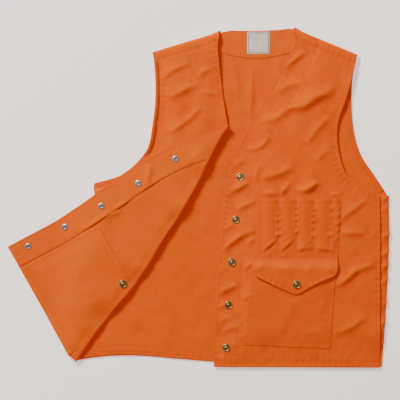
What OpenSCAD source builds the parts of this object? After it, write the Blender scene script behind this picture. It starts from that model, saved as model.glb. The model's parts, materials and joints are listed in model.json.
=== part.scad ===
// Blaze orange canvas field vest, lying flat on its back. Millimetres, +Z up.
// Origin: middle of the outline, on the plane the vest lies on. +Y runs to the neck.
// The wearer's right front is folded back over itself along a slanted fold, inside up.
// The wearer's left front lies closed, with its pocket, shell loops and snap caps.

/* [Body] */
// Width of the body at the hem, side fold to side fold
body_width = 603; // [520:1:700]
// Length of the body from the back neck edge to the hem
body_length = 656; // [560:1:760]
// Clear height left for the wearer between back and front as the vest lies
torso_gap = 9.2; // [8.5:0.1:12]

/* [Cloth] */
// Thickness of one modelled layer of canvas with its seam allowances
cloth = 1.2; // [1:0.1:1.4]
// Thickness of a facing or hem band laid on the canvas
band = 1.0; // [0.8:0.1:1.2]
// Width of the turned hem and armhole bands
hem_width = 10; // [8:0.5:12]
// Width of the facing down each front edge
facing_width = 45; // [40:1:50]

/* [Fold and hinges] */
// Middle radius of the rolled fold of the right front
fold_radius = 3.9; // [3.7:0.1:4.6]
// Fall of the turned-back front per millimetre away from the fold
near_fall = 0.035; // [0.03:0.001:0.04]
// Distance from the fold at which the turned-back front passes the side and drops
drop_start = 152; // [148:1:156]
// Fall per millimetre beyond that distance
far_fall = 0.15; // [0.14:0.005:0.16]

/* [Snaps] */
// Diameter of the brass snap caps
cap_diameter = 15; // [14:0.5:16]
// Distance between neighbouring snaps along the front edge
snap_pitch = 83; // [80:0.5:84]
// Number of snaps down the front
snap_count = 5; // [4:1:5]

/* [Pockets] */
// Clear depth inside the chest pocket and the inside pocket
pocket_gap = 5.6; // [5.4:0.1:6.5]
// Width of the chest pocket at its mouth
pocket_width = 166; // [150:1:168]
// Height of the chest pocket flap, hinge line to point
flap_drop = 78; // [70:1:84]
// Number of full shell loops, with one narrow loop after them
loop_count = 4; // [3:1:4]
// Spacing of the shell loops
loop_pitch = 34.5; // [33:0.5:35]
// Clear height inside a shell loop
loop_rise = 5.6; // [5.2:0.1:6]

/* [Hidden] */
$fn = 64;
kx = body_width / 603;
ky = body_length / 656;
function P(x, y) = [(x - 0.4) * kx, (y + 1.3) * ky];
// Points of a smooth curve from a to b that leans towards c
function bow(a, c, b, n = 8) =
  [for (i = [0:n]) let (s = i / n) (1 - s) * (1 - s) * a + 2 * s * (1 - s) * c + s * s * b];
// Two runs joined, the second without its first point
function on(v, w) = concat(v, [for (i = [1:len(w) - 1]) w[i]]);
function rev(v) = [for (i = [len(v) - 1:-1:0]) v[i]];
function along(a, b, s) = a + (b - a) * s;
function unit(v) = v / norm(v);
// The left-hand side of the direction from a to b
function side(a, b) = let (u = unit(b - a)) [-u[1], u[0]];
// A run of points moved sideways by w, to its left for positive w
function shifted(v, w) =
  [for (i = [0:len(v) - 1])
    v[i] + w * side(v[max(i - 1, 0)], v[min(i + 1, len(v) - 1)])];
// A closed strip of width w to the left of a run of points
function strip(v, w) = concat(v, rev(shifted(v, w)));

// Levels
front_z = cloth + torso_gap;
front_top = front_z + cloth;
wrap_r = front_top / 2;
axis_z = front_z + fold_radius + cloth / 2;
leaf_z = axis_z + fold_radius + cloth / 2 + 0.3;
patch_z = front_top + pocket_gap;
patch_top = patch_z + cloth;
flap_z = patch_top + 3.2;

// Shoulder, side and hem points
neck_r = P(40, 315);
neck_l = P(187, 322);
tip_r = P(-88, 277);
tip_l = P(307, 272);
arm_r = P(-200, 2);
arm_l = P(366, 0);
hem_r = P(-225, -317);
hem_l = P(366, -322);
seam_top = P(352, 4);
seam_low = P(352, -327);

// Outline runs shared by neighbouring pieces
armhole_r = concat(on(bow(tip_r, P(-77, 203), P(-90, 136)),
                      bow(P(-90, 136), P(-93, 47), P(-194, 30))), [arm_r]);
// The front's armhole edge is cut further in than the back's
front_arm_r = concat(on(bow(tip_r, P(-66, 205), P(-80, 150)),
                        bow(P(-80, 150), P(-92, 60), P(-190, 24))), [arm_r]);
back_arm_l = concat(on(bow(arm_l, P(352, 33), P(326, 65), 5),
                       bow(P(326, 65), P(291, 112), P(299, 230))), [tip_l]);
front_arm_l = on(on(bow(seam_top, P(293, 30), P(286, 44), 6),
                    bow(P(286, 44), P(261, 101), P(272, 154), 6)),
                 bow(P(272, 154), P(295, 211), tip_l, 6));
neck_back = concat([neck_l], bow(P(170, 327), P(115, 323), P(62, 325), 6), [neck_r]);
neck_front_r = bow(P(60, 137), P(40, 231), P(36, 300), 7);
v_left = on(bow(P(54, 12), P(67, 92), P(107, 151), 6),
            bow(P(107, 151), P(153, 230), P(188, 298), 7));
edge_left = bow(P(30, -322), P(34, -159), P(54, 12), 6);

// Fold line of the right front, from the hem up to the neck edge
fold_a = P(-222, -302);
fold_b = P(60, 137);
fold_u = unit(fold_b - fold_a);
fold_n = [fold_u[1], -fold_u[0]];
fold_c = fold_n * fold_a;
function away(d, s) = fold_a - fold_n * d + fold_u * s;

// Fold line of the left front, from the shoulder down to the hem
turn_a = along(neck_l, tip_l, 0.2);
turn_b = P(352, -329);
turn_u = unit(turn_b - turn_a);
turn_n = [-turn_u[1], turn_u[0]];

// Turned-back right front
leaf_edge = concat(bow(P(44, 122), P(-54, 115), P(-155, 35), 8), [P(-275, -45), P(-371, -96)]);
leaf_hem = [P(-371, -96), P(-278, -262), P(-244, -314)];
leaf_facing = [P(-348, -136), P(-245, -79), P(-112, 1), P(-42, 42), P(8, 66)];

// Snap places, from the neck down: left front caps and right front posts
snaps_l = [for (i = [0:snap_count - 1])
  let (y = 40 - i * snap_pitch) P(54 + 27 * pow(1 - i / 4, 1.3), y)];
snaps_r = [for (i = [0:snap_count - 1]) P(-45 - i * 71.5, 75 - i * 47.5 + 1.65 * i * (i - 1))];

pocket_l = P(107, 0)[0];
pocket_r = pocket_l + pocket_width;
flap_y = P(0, -114)[1];
loop_top = P(0, -4)[1];
loop_low = P(0, -100)[1];
loop_x = P(121, 0)[0];
flap_snap = [(pocket_l + pocket_r) / 2, flap_y - flap_drop * 0.7];
inner_snap = away(14.5, 154 * ky);

// The snap parts of the front edge, one node each
SNAPS = [for (kind = ["left_cap_", "left_socket_", "right_stud_", "right_post_"])
  for (i = [1:snap_count]) str(kind, i)];

module plate(pts, z, t) {
  translate([0, 0, z]) linear_extrude(height = t) polygon(pts);
}

// Rounded edge where the cloth turns from back to front, bulging right of a to b
module wrap(a, b, r, t, z) {
  translate([a[0], a[1], z])
    rotate([0, 0, atan2(b[1] - a[1], b[0] - a[0])])
      rotate([90, 0, 90])
        linear_extrude(height = norm(b - a))
          intersection() {
            difference() { circle(r = r); circle(r = r - t); }
            translate([-2 * r, -r]) square([2 * r, 2 * r]);
          }
}

// A flat piece laid on the turned-back front, h above its underside
module on_leaf(h, t, d0 = 1) {
  near = [away(d0, -60), away(drop_start, -60), away(drop_start, 700), away(d0, 700)];
  far = [away(drop_start, -60), away(330, -60), away(330, 700), away(drop_start, 700)];
  lean(near_fall, leaf_z + h) linear_extrude(height = t)
    intersection() { children(); polygon(near); }
  lean(far_fall, leaf_z + h + (far_fall - near_fall) * drop_start) linear_extrude(height = t)
    intersection() { children(); polygon(far); }
}

// Leans what is drawn flat so that it falls by s for each millimetre from the fold
module lean(s, z) {
  multmatrix([[1, 0, 0, 0], [0, 1, 0, 0],
    [s * fold_n[0], s * fold_n[1], 1, z - s * fold_c]]) children();
}

// Places a snap part on the turned-back front, upright on its slope
module at_leaf(p, h) {
  d = fold_c - fold_n * p;
  s = d > drop_start ? far_fall : near_fall;
  z = leaf_z + h - near_fall * min(d, drop_start) - far_fall * max(d - drop_start, 0);
  translate([p[0], p[1], z])
    rotate([0, 0, atan2(fold_n[1], fold_n[0])]) rotate([0, -atan(s), 0]) children();
}

module snap_cap() {
  color("goldenrod") {
    cylinder(r = cap_diameter / 2, h = 1.2);
    translate([0, 0, 1.2]) cylinder(r1 = cap_diameter / 2 - 0.8, r2 = cap_diameter / 2 - 2, h = 0.9);
  }
}
module snap_socket() {
  color("goldenrod") difference() {
    union() {
      cylinder(r = 6.4, h = 1.2);
      translate([0, 0, -1.2]) cylinder(r = 4.8, h = 1.2);
    }
    translate([0, 0, -1.3]) cylinder(r = 3.3, h = 2.1);
  }
}
module snap_stud() {
  color("silver") {
    cylinder(r = 6.2, h = 0.7);
    translate([0, 0, 0.7]) cylinder(r = 2.7, h = 1.7);
  }
}
module snap_post() {
  color("silver") difference() {
    cylinder(r = 6.2, h = 1);
    translate([0, 0, 0.5]) cylinder(r = 3.4, h = 1);
  }
}

// Back
module back_panel() {
  color("orange") plate(concat(neck_back, armhole_r, [hem_r],
    bow(P(-222, -317), P(-170, -303), P(-98, -309), 5), [P(30, -320), hem_l], back_arm_l),
    0, cloth);
}
module back_neck_facing() {
  color("darkorange") plate(concat([P(176, 322)], bow(P(166, 324), P(115, 321), P(64, 322), 6),
    [P(44, 313)], bow(P(38, 286), P(105, 258), P(180, 284), 8)), cloth, band);
}
module neck_label() {
  color("bisque") translate([P(116.5, 0)[0] - 21.5, P(0, 301)[1] - 21.5, cloth + band])
    cube([43, 43, 0.6]);
}
module back_hem_band() {
  color("darkorange") plate(strip(concat([P(-212, -312)],
    bow(P(-206, -311), P(-160, -300), P(-98, -308), 4), [P(30, -319), P(358, -321)]),
    hem_width), cloth, band);
}
module back_armhole_band_left() {
  color("darkorange") plate(strip([for (i = [1:len(back_arm_l) - 2]) back_arm_l[i]],
    hem_width), cloth, band);
}
module back_armhole_band_right() {
  color("darkorange") plate(strip([for (i = [1:len(armhole_r) - 3]) armhole_r[i]],
    hem_width), cloth, band);
}

// Right side, which stays down
module right_chest_panel() {
  color("orange") plate(concat(front_arm_r, [along(arm_r, hem_r, 0.94), fold_a],
    neck_front_r, [neck_r]), front_z, cloth);
}
module right_armhole_facing() {
  color("darkorange") plate(strip([for (i = [1:len(front_arm_r) - 3]) front_arm_r[i]],
    hem_width), front_z - band, band);
}
module right_side_wrap() {
  color("orange") wrap(arm_r, along(arm_r, hem_r, 0.94), wrap_r, cloth, wrap_r);
}
module right_shoulder_wrap() {
  color("orange") wrap(neck_r, tip_r, wrap_r, cloth, wrap_r);
}
module right_front_roll() {
  color("orange") wrap(along(fold_a, fold_b, 0.03), along(fold_a, fold_b, 0.985),
    fold_radius + cloth / 2, cloth, axis_z);
}

// Left side, which stays down
module left_side_front() {
  color("orange") plate(concat([turn_b + 0.25 * turn_n], front_arm_l,
    [turn_a + 0.3 * unit(tip_l - neck_l)]), front_z, cloth);
}
module left_armhole_facing() {
  color("darkorange") plate(strip([for (i = [1:len(front_arm_l) - 2]) front_arm_l[i]],
    hem_width - 2), front_z - band, band);
}
module left_side_wrap() {
  color("orange") {
    plate([seam_top + [0.2, 0], seam_low + [0.2, 0], hem_l, arm_l], front_z, cloth);
    wrap(hem_l, arm_l, wrap_r, cloth, wrap_r);
  }
}
module left_shoulder_wrap() {
  color("orange") wrap(tip_l, neck_l, wrap_r, cloth, wrap_r);
}

// Right front, turned back
module right_front_panel() {
  color("orange") on_leaf(0, cloth) polygon(concat(leaf_edge, leaf_hem,
    [fold_a + [0, -20], fold_b]));
}
module right_front_facing() {
  color("darkorange") on_leaf(cloth, band, 3)
    polygon(concat([for (i = [1:len(leaf_edge) - 1]) leaf_edge[i]], leaf_facing));
}
module right_hem_band() {
  color("darkorange") on_leaf(cloth, band, 3)
    polygon([P(-347, -137.5), P(-278, -262), P(-246, -311), P(-238, -304), P(-269, -257),
      P(-338, -133)]);
}
module inside_pocket() {
  mouth_a = P(-194, -56);
  mouth_b = away(4, 165 * ky);
  low = away(4, 6);
  out = P(-334, -134);
  hem = P(-266, -256);
  ring = [mouth_a, mouth_b, low, P(-236, -302), hem, out];
  mid = (mouth_b + out) / 2;
  hollow = concat([for (i = [0, 1]) ring[i] + 30 * unit(mouth_a - out)],
    [for (i = [2:5]) ring[i] + 3 * unit(mid - ring[i])],
    [mouth_a + 3 * unit(mouth_b - mouth_a)]);
  color("darkorange") {
    on_leaf(cloth + pocket_gap, cloth, 3) polygon(ring);
    on_leaf(cloth, pocket_gap, 3) difference() {
      polygon(ring);
      polygon([mouth_a + 3 * unit(mouth_b - mouth_a) + 9 * unit(mouth_a - out),
        mouth_b + 3 * unit(mouth_a - mouth_b) + 9 * unit(mouth_a - out),
        low + 3 * unit([-2, 4]), P(-236, -302) + [0.6, 3.2], hem + [3, 1.2], out + [4, 1.2]]);
    }
  }
}
module inside_snap_cap() { at_leaf(inner_snap, 2 * cloth + pocket_gap) snap_cap(); }
module inside_snap_socket() { at_leaf(inner_snap, cloth + pocket_gap - 1.2) snap_socket(); }
module inside_snap_stud() { at_leaf(inner_snap, cloth) snap_stud(); }
module right_stud(i) { at_leaf(snaps_r[i - 1], 0) mirror([0, 0, 1]) snap_stud(); }
module right_post(i) { at_leaf(snaps_r[i - 1], cloth + band) snap_post(); }

// Left front
module left_front_panel() {
  color("orange") plate(concat(edge_left, v_left, [along(neck_l, tip_l, 0.02) - [0, 0.4],
    turn_a - 0.25 * turn_n - [0, 0.4], turn_b - 0.25 * turn_n]), front_z, cloth);
}
module left_front_facing() {
  run = concat([for (i = [0:5]) edge_left[i]], [for (i = [0:len(v_left) - 2]) v_left[i]]);
  color("darkorange") plate(strip(rev([for (p = run) p + [0.8, 0]]), facing_width),
    front_z - band, band);
}
module left_hem_band() {
  color("darkorange") plate([P(30, -321) + [facing_width + 2, 0], P(344, -328),
    P(342, -328 + hem_width), P(30, -321 + hem_width) + [facing_width + 2, 0]],
    front_z - band, band);
}
module on_left(i, z) { translate([snaps_l[i - 1][0], snaps_l[i - 1][1], z]) children(); }
module left_cap(i) { on_left(i, front_top) snap_cap(); }
module left_socket(i) { on_left(i, front_z - band - 1.2) snap_socket(); }
module shell_loop(w) {
  r = (w * w / 4 + loop_rise * loop_rise) / (2 * loop_rise);
  intersection() {
    translate([0, loop_rise - r]) difference() { circle(r = r + cloth); circle(r = r); }
    translate([-w, 0]) square([2 * w, 2 * loop_rise]);
  }
}
module shell_loops() {
  last = pocket_r + 2 - (loop_x + loop_count * loop_pitch);
  color("orange") translate([loop_x, loop_top, front_top]) rotate([90, 0, 0])
    linear_extrude(height = loop_top - loop_low) {
      for (i = [0:loop_count - 1]) translate([(i + 0.5) * loop_pitch, 0])
        shell_loop(loop_pitch - 5);
      translate([loop_count * loop_pitch + last / 2, 0]) shell_loop(last - 3);
      for (i = [0:loop_count]) translate([i * loop_pitch - 1.5, 0]) square([3, cloth]);
    }
}
module chest_pocket() {
  top = flap_y - 14;
  low = P(0, -291)[1];
  ring = [[pocket_l, top], [pocket_l + 1, top - 20], [pocket_l - 14, low],
    [pocket_r - 14, low], [pocket_r - 3, top - 25], [pocket_r, top]];
  inner = [[pocket_l + 3, top + 5], [pocket_l + 4, top - 20], [pocket_l - 10.5, low + 3],
    [pocket_r - 17, low + 3], [pocket_r - 6, top - 25], [pocket_r - 3, top + 5]];
  color("orange") {
    plate(ring, patch_z, cloth);
    translate([0, 0, front_top]) linear_extrude(height = pocket_gap)
      difference() { polygon(ring); polygon(inner); }
  }
}
module pocket_snap_stud() {
  translate([flap_snap[0], flap_snap[1], patch_top]) snap_stud();
}
module pocket_snap_post() {
  translate([flap_snap[0], flap_snap[1], patch_z]) mirror([0, 0, 1]) snap_post();
}

// Flap: rises from its seam over the pocket mouth, then lies flat over the pocket
module pocket_flap() {
  rise = flap_z - front_top - 0.4;
  mid = (pocket_l + pocket_r) / 2;
  base = flap_y - 28;
  color("orange") {
    translate([pocket_l - 1, flap_y, front_top + 0.4])
      multmatrix([[1, 0, 0, 0], [0, 1, 0, 0], [0, -rise / 14, 1, 0]])
        translate([0, -14, 0]) cube([pocket_width + 2, 14, cloth]);
    plate(concat([[pocket_r + 1, flap_y - 14]],
      [[pocket_r + 1, base]],
      bow([pocket_r - 4, base - 11], [mid + 34, base - 26], [mid, flap_y - flap_drop], 7),
      bow([mid, flap_y - flap_drop], [mid - 40, base - 34], [pocket_l + 7, base - 15], 7),
      [[pocket_l - 1, base], [pocket_l - 1, flap_y - 14]]), flap_z, cloth);
  }
}
module flap_snap_cap() {
  translate([flap_snap[0], flap_snap[1], flap_z + cloth]) snap_cap();
}
module flap_snap_socket() {
  translate([flap_snap[0], flap_snap[1], flap_z - 1.2]) snap_socket();
}

back_panel();
back_neck_facing();
neck_label();
back_hem_band();
back_armhole_band_left();
back_armhole_band_right();
right_chest_panel();
right_armhole_facing();
right_side_wrap();
right_shoulder_wrap();
right_front_roll();
left_side_front();
left_armhole_facing();
left_side_wrap();
left_shoulder_wrap();
right_front_panel();
right_front_facing();
right_hem_band();
inside_pocket();
inside_snap_cap();
inside_snap_socket();
inside_snap_stud();
left_front_panel();
left_front_facing();
left_hem_band();
shell_loops();
chest_pocket();
pocket_snap_stud();
pocket_snap_post();
pocket_flap();
flap_snap_cap();
flap_snap_socket();
for (i = [1:snap_count]) {
  left_cap(i);
  left_socket(i);
  right_stud(i);
  right_post(i);
}
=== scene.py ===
"""Blaze orange canvas vest lying open on a table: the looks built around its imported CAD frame.

Lengths are in millimetres, in the frame's axes, until an object is made. The cloth pieces take
their outlines from the CAD nodes, and their folds, seams and wrinkles from the functions below.
"""

import json
import math

import bpy
import numpy as np
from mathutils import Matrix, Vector
from mathutils.geometry import delaunay_2d_cdt


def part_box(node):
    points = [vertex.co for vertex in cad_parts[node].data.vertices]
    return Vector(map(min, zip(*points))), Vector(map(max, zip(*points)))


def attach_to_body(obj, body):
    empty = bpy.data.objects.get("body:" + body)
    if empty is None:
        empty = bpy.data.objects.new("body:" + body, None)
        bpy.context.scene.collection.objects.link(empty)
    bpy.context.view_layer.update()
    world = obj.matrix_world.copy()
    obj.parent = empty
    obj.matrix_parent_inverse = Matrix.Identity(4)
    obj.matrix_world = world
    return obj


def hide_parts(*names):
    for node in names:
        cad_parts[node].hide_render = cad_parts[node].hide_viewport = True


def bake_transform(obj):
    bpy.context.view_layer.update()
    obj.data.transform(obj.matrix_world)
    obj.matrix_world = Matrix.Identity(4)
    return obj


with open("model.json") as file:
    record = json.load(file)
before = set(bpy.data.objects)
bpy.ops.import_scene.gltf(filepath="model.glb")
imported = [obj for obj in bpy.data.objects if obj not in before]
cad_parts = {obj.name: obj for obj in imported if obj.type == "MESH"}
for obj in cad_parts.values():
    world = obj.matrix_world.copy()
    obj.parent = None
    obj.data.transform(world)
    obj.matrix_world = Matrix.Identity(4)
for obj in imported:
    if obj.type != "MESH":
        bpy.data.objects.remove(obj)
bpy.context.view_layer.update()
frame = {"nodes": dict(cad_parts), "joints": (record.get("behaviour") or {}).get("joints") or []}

MM = 0.001
STEP = 3.4  # spacing of the points in a sheet of cloth
CANVAS = 1.0  # thickness of one layer of canvas
FINE_CANVAS = 0.9  # thickness of a facing or hem band that lies under a panel
CORNER = math.radians(24)  # an outline turns more than this at a corner
SNAPS = range(1, 6)  # the snaps down the front, numbered from the top
STEEP = (0.55, -0.83)  # the direction in plan in which a fold's steep side faces


# ---------------------------------------------------------------- runs and outlines
def lengths(points):
    """Distance along a run of points, starting at 0."""
    return np.concatenate([[0], np.cumsum(np.linalg.norm(np.diff(points, axis=0), axis=1))])


def evenly(points, count):
    """A run of points spaced evenly."""
    along = lengths(points)
    at = np.linspace(0, along[-1], count)
    return np.stack([np.interp(at, along, points[:, k]) for k in range(points.shape[1])], 1)


def resample(points, step, soften=9.0):
    """A run of points spaced evenly, with the bends between its segments softened."""
    points = np.asarray(points, float)
    total = lengths(points)[-1]
    run = evenly(points, max(3, int(total)))
    reach = int(min(soften, total / 4))
    if reach >= 2 and len(points) > 2:
        kernel = np.exp(-0.5 * (np.arange(-2 * reach, 2 * reach + 1) / reach) ** 2)
        kernel /= kernel.sum()
        before = 2 * run[0] - run[2 * reach:0:-1]
        after = 2 * run[-1] - run[-2:-2 * reach - 2:-1]
        padded = np.concatenate([before, run, after])
        run = np.stack([np.convolve(padded[:, k], kernel, "valid") for k in range(run.shape[1])], 1)
    return evenly(run, max(2, int(round(lengths(run)[-1] / step)) + 1))


def unit(v):
    return v / np.maximum(np.linalg.norm(v, axis=-1, keepdims=True), 1e-9)


def offset_run(points, w):
    """A run of points moved sideways, to the left of its direction for positive w."""
    d = unit(np.gradient(points, axis=0))
    return points + w * np.stack([-d[:, 1], d[:, 0]], 1)


def segment_distance(x, y, points):
    """Distance of each point from a polyline, and how far along it the nearest place is."""
    best = np.full(np.shape(x), 1e9)
    place = np.zeros(np.shape(x))
    start = 0.0
    for a, b in zip(points[:-1], points[1:]):
        d = b - a
        size = float(np.hypot(*d))
        if size < 1e-9:
            continue
        t = np.clip(((x - a[0]) * d[0] + (y - a[1]) * d[1]) / size ** 2, 0, 1)
        dist = np.hypot(x - a[0] - t * d[0], y - a[1] - t * d[1])
        near = dist < best
        best = np.where(near, dist, best)
        place = np.where(near, start + t * size, place)
        start += size
    return best, place


def away_from(x, y, points):
    """Distance of each point from a polyline."""
    return segment_distance(x, y, points)[0]


def inside(x, y, loop):
    """Whether each point lies inside a closed outline."""
    found = np.zeros(np.shape(x), bool)
    for a, b in zip(loop, np.roll(loop, -1, axis=0)):
        if a[1] != b[1]:
            crosses = (a[1] > y) != (b[1] > y)
            found ^= crosses & (x < (b[0] - a[0]) * (y - a[1]) / (b[1] - a[1]) + a[0])
    return found


def loop_area(p):
    """The area inside a closed outline, positive if it runs anticlockwise."""
    q = np.roll(p, -1, axis=0)
    return 0.5 * float(np.sum(p[:, 0] * q[:, 1] - q[:, 0] * p[:, 1]))


def closed(loop):
    return np.concatenate([loop, loop[:1]])


def smoothstep(t):
    """0 up to 0, 1 from 1 on, smooth between."""
    t = np.clip(t, 0, 1)
    return t * t * (3 - 2 * t)


def sheer(x, a, b):
    """0 before a, 1 after b, smooth between."""
    return smoothstep((x - a) / (b - a))


def near_by(d, reach):
    """1 at no distance, 0 from reach on, smooth between."""
    return 1 - smoothstep(d / reach)


def bell(d, width):
    """1 at no distance, fading as a bell curve of that width."""
    return np.exp(-((d / width) ** 2))


def cad_loop(node):
    """The outline of a CAD plate's upper faces, as points in order, anticlockwise."""
    mesh = frame["nodes"][node].data
    mesh.calc_loop_triangles()
    key = [tuple(np.round(np.array(v.co[:2]) / MM, 2)) for v in mesh.vertices]
    edges = set()
    for tri in mesh.loop_triangles:
        if tri.normal.z < 0.5:
            continue
        ids = [key[i] for i in tri.vertices]
        for a, b in zip(ids, ids[1:] + ids[:1]):
            if (b, a) in edges:
                edges.discard((b, a))
            elif a != b:
                edges.add((a, b))
    after = dict(edges)
    loops = []
    while after:
        loop = [min(after)]
        while loop[-1] in after:
            loop.append(after.pop(loop[-1]))
        loops.append(np.array(loop[:-1]))
    return max(loops, key=lambda p: abs(loop_area(p)) if len(p) > 2 else 0)


def corners_of(loop, turn_above):
    """Where a closed outline turns sharply."""
    edge_in = loop - np.roll(loop, 1, axis=0)
    edge_out = np.roll(loop, -1, axis=0) - loop
    cross = edge_in[:, 0] * edge_out[:, 1] - edge_in[:, 1] * edge_out[:, 0]
    return np.flatnonzero(np.abs(np.arctan2(cross, (edge_in * edge_out).sum(1))) > turn_above)


def part_of(loop, i, j):
    """The part of a closed outline from its point i on to its point j."""
    return loop[i:j + 1] if j > i else np.concatenate([loop[i:], loop[:j + 1]])


def smooth_loop(loop, step=STEP, turn_above=CORNER, soften=9.0):
    """A closed outline with its corners kept and the runs between them smoothed."""
    corners = corners_of(loop, turn_above)
    return np.concatenate([resample(part_of(loop, c, d), step, soften)[:-1]
                           for c, d in zip(corners, np.roll(corners, -1))])


def nearest(loop, point):
    return int(np.argmin(np.linalg.norm(loop - np.array(point)[:2], axis=1)))


def run_between(loop, a, b):
    """The part of a closed outline from the point nearest a to the point nearest b."""
    return part_of(loop, nearest(loop, a), nearest(loop, b))


def with_run(loop, a, b, run):
    """A closed outline with the part from near a to near b replaced."""
    return np.concatenate([run, run_between(loop, b, a)[1:-1]])


# ---------------------------------------------------------------- places, from the frame
def node_mm(name):
    """The two corners of a node's box, in mm."""
    lo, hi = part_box(name)
    return np.array(lo) / MM, np.array(hi) / MM


def hinge(name):
    """A joint's point, its direction in the plane and the left-hand side of that, in mm."""
    joint = next(j for j in frame["joints"] if j["name"] == name)
    u = unit(np.array(joint["axis"][:2]))
    return np.array(joint["pos_m"]) / MM, u, np.array([-u[1], u[0]])


fold_at, fold_u, fold_out = hinge("right_front_fold")
turn_at, turn_u, turn_out = hinge("left_front_fold")
shoulder_l, shoulder_r = node_mm("left_shoulder_wrap"), node_mm("right_shoulder_wrap")
side_l, side_r = node_mm("left_side_wrap"), node_mm("right_side_wrap")
neck_l, tip_l = (shoulder_l[0][0], shoulder_l[1][1]), (shoulder_l[1][0], shoulder_l[0][1])
neck_r, tip_r = (shoulder_r[1][0], shoulder_r[1][1]), (shoulder_r[0][0], shoulder_r[0][1])
seam_top = (side_l[0][0], side_l[1][1])
arm_l, hem_l = (side_l[1][0], side_l[1][1]), (side_l[1][0], side_l[0][1])
arm_r, side_end = (side_r[1][0], side_r[1][1]), (side_r[0][0], side_r[0][1])


def from_fold(x, y):
    """Distance from the right front's fold line, over the side its leaf lies on."""
    return (x - fold_at[0]) * fold_out[0] + (y - fold_at[1]) * fold_out[1]


def down_fold(x, y):
    """Distance along the right front's fold line, up from the hem."""
    return (x - fold_at[0]) * fold_u[0] + (y - fold_at[1]) * fold_u[1]


def on_fold(s):
    """Points of the fold line at distances s up from the hem."""
    return fold_at[:2] + np.atleast_1d(s)[:, None] * fold_u


# ---------------------------------------------------------------- wrinkles, seams and waves
def waves(seed, length, count=22):
    """A smooth random surface of height about 1, its waves about that long."""
    r = np.random.default_rng(seed)
    way = r.uniform(0, 2 * math.pi, count)
    k = 2 * math.pi / (length * r.uniform(0.7, 1.6, count))
    phase = r.uniform(0, 2 * math.pi, count)
    size = r.uniform(0.5, 1, count)
    size /= math.sqrt(float((size ** 2).sum()) / 2)

    def height(x, y):
        total = np.zeros(np.shape(x))
        for w, f, p, s in zip(way, k, phase, size):
            total = total + s * np.sin(f * (np.cos(w) * x + np.sin(w) * y) + p)
        return total

    return height


def rumple(seed, broad, middle, fine):
    """Random unevenness: heights of its broad, middle and fine waves."""
    parts = [(broad, waves(seed, 75)), (middle, waves(seed + 1, 27)), (fine, waves(seed + 2, 11))]
    return lambda x, y: sum(size * wave(x, y) for size, wave in parts)


def within(x, y, line, margin):
    """Which points lie in a line's box, with a margin round it."""
    lo, hi = line.min(0) - margin, line.max(0) + margin
    return (x > lo[0]) & (x < hi[0]) & (y > lo[1]) & (y < hi[1])


RIDGE_BELOW, RIDGE_ABOVE = 0.75, 1.5  # a ridge's reach on its steep and its soft side, in half widths
RIDGE_RISE = 2.1  # a ridge's height for each unit given
FADE = 0.6  # how bluntly a ridge fades at its ends


def folds(creases, x, y):
    """The sum of ridges (half width, height, points), steep below, soft above, faded at their ends."""
    total = np.zeros(np.shape(x))
    for width, height, points in creases:
        line = resample(points, 4.0, soften=10)
        near = within(x, y, line, 4 * width)
        if near.any():
            px, py = x[near], y[near]
            dist, place = segment_distance(px, py, line)
            along = lengths(line)
            foot_x, foot_y = (np.interp(place, along, line[:, k]) for k in (0, 1))
            below = (px - foot_x) * STEEP[0] + (py - foot_y) * STEEP[1] > 0
            reach = width * np.where(below, RIDGE_BELOW, RIDGE_ABOVE)
            fade = np.sin(math.pi * np.clip(place / along[-1], 0, 1)) ** FADE
            total[near] += RIDGE_RISE * height * fade * np.exp(-((dist / reach) ** 1.5))
    return total


GROOVE = 1.9  # half width of a stitched groove


def grooves(*lines):
    """Lines for seams, each given as (depth, pucker height, pucker spacing, run, distance aside)."""
    return [(depth, pucker, pitch, offset_run(run, aside)) for depth, pucker, pitch, run, aside in lines]


def seams(lines, x, y):
    """Stitched grooves, each (depth, pucker height, pucker spacing, points)."""
    total = np.zeros(np.shape(x))
    for i, (depth, pucker, pitch, points) in enumerate(lines):
        near = within(x, y, points, 30)
        if near.any():
            dist, place = segment_distance(x[near], y[near], points)
            r = np.random.default_rng(100 + i)
            drift = sum(0.9 * np.sin(place / (pitch * m) + r.uniform(0, 6)) for m in (1.7, 2.6, 4.3))
            swell = np.sin(place / (3.1 * pitch) + r.uniform(0, 6)) * np.sin(place / (7.3 * pitch))
            rise = pucker * (0.5 + 0.5 * swell) * np.sin(2 * math.pi * place / pitch + drift)
            total[near] += rise * bell(dist, 0.8 * pitch) - depth * bell(dist, GROOVE)
    return total


# ---------------------------------------------------------------- surfaces and shells
class Surface:
    """The middle surface of a piece of cloth: points, faces, border and normals."""

    def __init__(self, points, faces, border):
        self.points, self.faces, self.border = points, faces, border
        self.normals = np.zeros_like(points)
        face_normals = self.crosses()
        for k in range(faces.shape[1]):
            np.add.at(self.normals, faces[:, k], face_normals)
        self.cut = np.zeros(len(border), bool)

    def crosses(self):
        """Each face's normal, twice its area long."""
        p = [self.points[self.faces[:, k]] for k in range(self.faces.shape[1])]
        return np.cross(p[1] - p[0], p[2] - p[0]) if len(p) == 3 else np.cross(p[2] - p[0], p[3] - p[1])

    def area(self):
        return float(np.linalg.norm(self.crosses(), axis=1).sum() / 2)


JITTER = 0.16  # how far a sheet's points stray from even rows, in steps
ROW = 0.866  # spacing of the rows of points, in steps, which makes the triangles about equal
EDGE_GAP = 0.6  # how near to the outline a point may lie, in steps
SLIVER = 0.02  # a triangle of half this area in square mm is left out


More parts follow.
